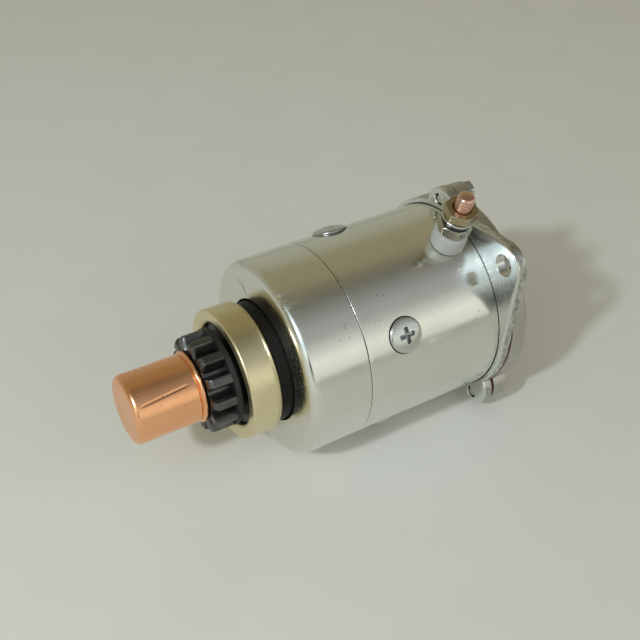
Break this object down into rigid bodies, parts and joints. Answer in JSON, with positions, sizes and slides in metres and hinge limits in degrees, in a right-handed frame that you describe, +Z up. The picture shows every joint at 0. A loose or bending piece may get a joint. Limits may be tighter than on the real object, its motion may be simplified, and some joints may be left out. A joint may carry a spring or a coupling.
{
  "type": "starter motor",
  "caption": "Inertia-drive starter motor with a plated steel body, sliding pinion and clutch, copper terminal and a lugged mounting flange.",
  "frame": {"origin": "where the motor axis meets the plane of the mounting flange front face", "axes": "+X along the motor axis from the pinion to the rear cover, +Z up"},
  "size_m": [0.151, 0.0872, 0.1026],
  "materials": {
    "zinc": "bright zinc plate",
    "steel": "turned and plated",
    "yellow_zinc": "yellow passivated zinc plate",
    "black_oxide": "black oxide",
    "copper": "bright copper",
    "nylon": "natural nylon",
    "gasket": "red-brown gasket paper",
    "cast": "tumbled casting",
    "iron": "bare iron",
    "insulation": "varnished tape",
    "bronze": "sintered bronze",
    "carbon": "carbon",
    "phenolic": "moulded phenolic"
  },
  "bodies": {
    "frame": {"drive_end_housing": "zinc", "yoke": "zinc", "mounting_flange": "zinc", "flange_gasket": "gasket", "rear_cover": "cast", "cover_screw_upper": "steel", "cover_screw_lower": "steel", "through_bolt_1": "steel", "through_bolt_2": "steel", "bearing_plate": "steel", "front_bush": "bronze", "rear_bush": "bronze", "terminal_insulator_outer": "nylon", "terminal_insulator_inner": "phenolic", "terminal_stud": "copper", "terminal_nut_lower": "steel", "terminal_lock_washer": "black_oxide", "terminal_washer": "steel", "terminal_nut_upper": "yellow_zinc", "terminal_lead": "copper", "brush_plate": "phenolic", "pole_shoe_1": "iron", "field_coil_1": "insulation", "pole_screw_1": "steel", "brush_spring_1": "steel", "pole_shoe_2": "iron", "field_coil_2": "insulation", "pole_screw_2": "steel", "brush_spring_2": "steel", "pole_shoe_3": "iron", "field_coil_3": "insulation", "pole_screw_3": "steel", "brush_spring_3": "steel", "pole_shoe_4": "iron", "field_coil_4": "insulation", "pole_screw_4": "steel", "brush_spring_4": "steel"},
    "armature": {"armature_shaft": "steel", "armature_core": "iron", "front_winding": "copper", "rear_winding": "copper", "commutator": "copper", "front_thrust_washer": "steel", "rear_thrust_washer": "steel", "stop_nut": "steel", "return_spring": "steel"},
    "drive": {"clutch_shell": "yellow_zinc", "clutch_body": "black_oxide", "clutch_washer": "black_oxide", "screw_sleeve": "steel", "clutch_roller_1": "steel", "clutch_roller_2": "steel", "clutch_roller_3": "steel", "clutch_roller_4": "steel"},
    "pinion": {"pinion": "black_oxide", "pinion_cap": "copper"},
    "brush_1": {"brush_1": "carbon"},
    "brush_2": {"brush_2": "carbon"},
    "brush_3": {"brush_3": "carbon"},
    "brush_4": {"brush_4": "carbon"}
  },
  "joints": [
    {"name": "armature_spin", "type": "hinge", "parent": "frame", "child": "armature", "pos_m": [-0.04, 0, 0], "axis": [1, 0, 0], "continuous": true},
    {"name": "drive_slide", "type": "slide", "parent": "armature", "child": "drive", "axis": [-1, 0, 0], "range_m": [0, 0.012], "stiffness_N_per_m": 400, "springref_m": -0.01, "deforming": ["return_spring"]},
    {"name": "pinion_overrun", "type": "hinge", "parent": "drive", "child": "pinion", "pos_m": [-0.1, 0, 0], "axis": [1, 0, 0], "continuous": true},
    {"name": "brush_1_slide", "type": "slide", "parent": "frame", "child": "brush_1", "axis": [0, -0.8829, 0.4695], "range_m": [0, 0.004], "stiffness_N_per_m": 250, "springref_m": -0.016, "deforming": ["brush_spring_1"]},
    {"name": "brush_2_slide", "type": "slide", "parent": "frame", "child": "brush_2", "axis": [0, -0.4695, -0.8829], "range_m": [0, 0.004], "stiffness_N_per_m": 250, "springref_m": -0.016, "deforming": ["brush_spring_2"]},
    {"name": "brush_3_slide", "type": "slide", "parent": "frame", "child": "brush_3", "axis": [0, 0.8829, -0.4695], "range_m": [0, 0.004], "stiffness_N_per_m": 250, "springref_m": -0.016, "deforming": ["brush_spring_3"]},
    {"name": "brush_4_slide", "type": "slide", "parent": "frame", "child": "brush_4", "axis": [0, 0.4695, 0.8829], "range_m": [0, 0.004], "stiffness_N_per_m": 250, "springref_m": -0.016, "deforming": ["brush_spring_4"]}
  ]
}
